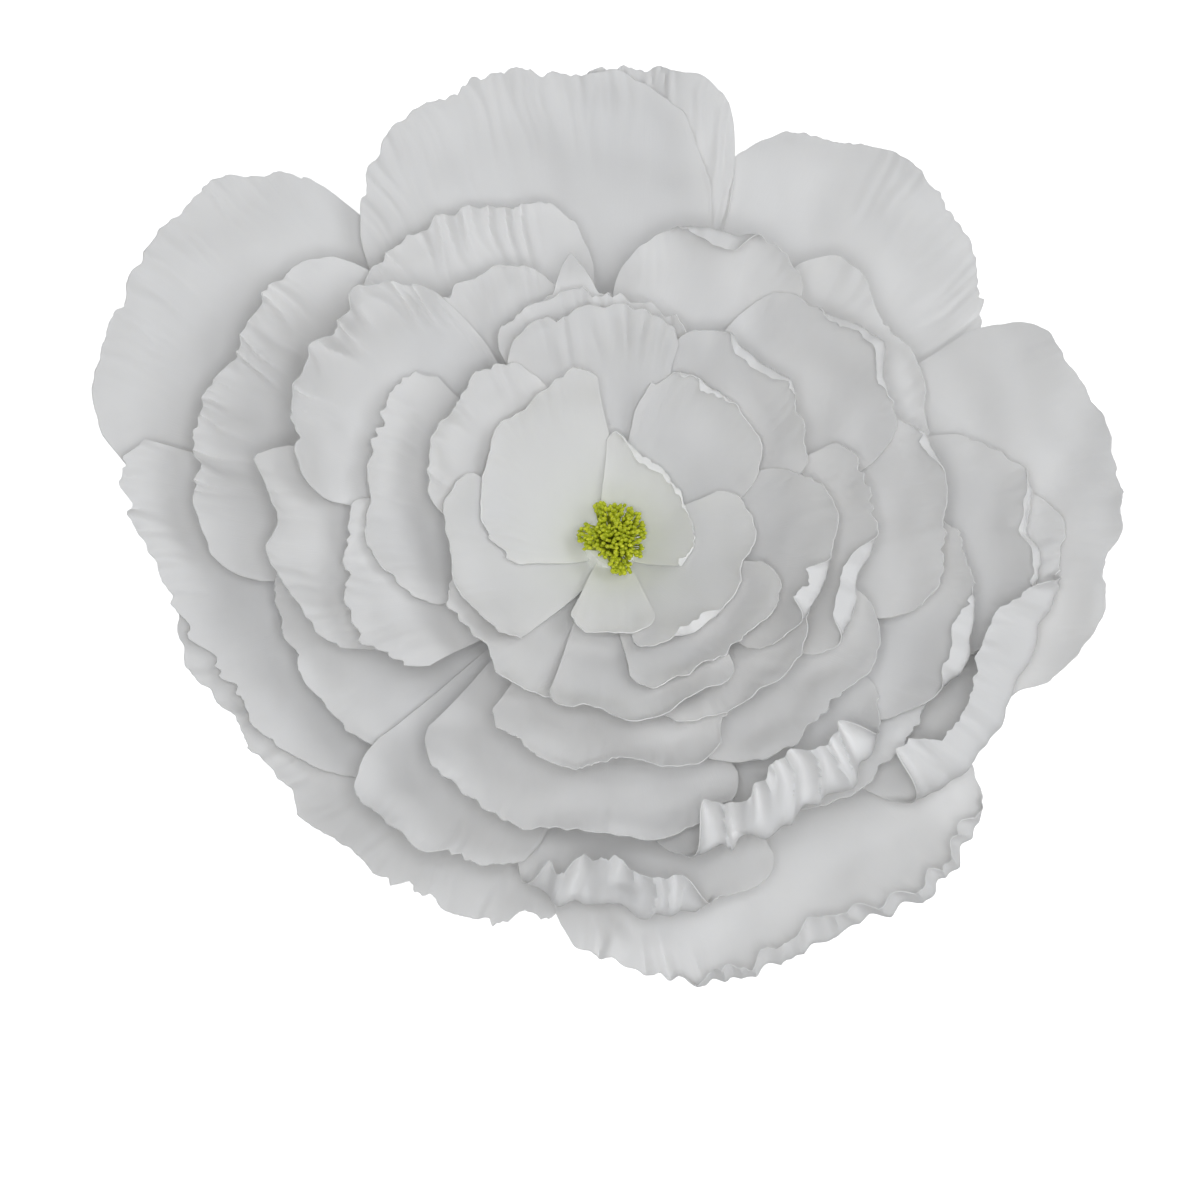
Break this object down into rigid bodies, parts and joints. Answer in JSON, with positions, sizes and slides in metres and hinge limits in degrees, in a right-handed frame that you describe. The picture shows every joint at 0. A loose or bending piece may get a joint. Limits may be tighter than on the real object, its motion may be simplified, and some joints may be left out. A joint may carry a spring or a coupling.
{
  "type": "giant paper flower",
  "caption": "Large white paper peony with layered fluted petals on a tapered core, a beaded stamen cluster and a flat backing disc.",
  "frame": {"origin": "centre of the backing disc's flat rear face", "axes": "+Z out of the flower's face along the core; +Y is the side shown at the top of the reference view; +X is its right"},
  "size_m": [0.7922, 0.7298, 0.2322],
  "materials": {
    "petal_sheet": "soft matt white sheet",
    "stamen_beads": "yellow-green beads on thin stalks",
    "core_foam": "plain light foam",
    "disc_card": "plain card"
  },
  "bodies": {
    "root": {"backing_disc": "disc_card", "core": "core_foam", "stamens": "stamen_beads", "guard_petal_1": "petal_sheet", "guard_petal_2": "petal_sheet", "guard_petal_3": "petal_sheet", "guard_petal_4": "petal_sheet", "guard_petal_5": "petal_sheet", "guard_petal_6": "petal_sheet", "guard_petal_7": "petal_sheet", "guard_petal_8": "petal_sheet", "guard_petal_9": "petal_sheet", "second_petal_1": "petal_sheet", "second_petal_2": "petal_sheet", "second_petal_3": "petal_sheet", "second_petal_4": "petal_sheet", "second_petal_5": "petal_sheet", "second_petal_6": "petal_sheet", "second_petal_7": "petal_sheet", "second_petal_8": "petal_sheet", "second_petal_9": "petal_sheet", "second_petal_10": "petal_sheet", "third_petal_1": "petal_sheet", "third_petal_2": "petal_sheet", "third_petal_3": "petal_sheet", "third_petal_4": "petal_sheet", "third_petal_5": "petal_sheet", "third_petal_6": "petal_sheet", "third_petal_7": "petal_sheet", "third_petal_8": "petal_sheet", "third_petal_9": "petal_sheet", "third_petal_10": "petal_sheet", "fourth_petal_1": "petal_sheet", "fourth_petal_2": "petal_sheet", "fourth_petal_3": "petal_sheet", "fourth_petal_4": "petal_sheet", "fourth_petal_5": "petal_sheet", "fourth_petal_6": "petal_sheet", "fifth_petal_1": "petal_sheet", "fifth_petal_2": "petal_sheet", "fifth_petal_3": "petal_sheet", "fifth_petal_4": "petal_sheet", "fifth_petal_5": "petal_sheet", "fifth_petal_6": "petal_sheet", "fifth_petal_7": "petal_sheet", "fifth_petal_8": "petal_sheet", "heart_petal_1": "petal_sheet", "heart_petal_2": "petal_sheet", "heart_petal_3": "petal_sheet", "heart_petal_4": "petal_sheet"}
  },
  "joints": []
}
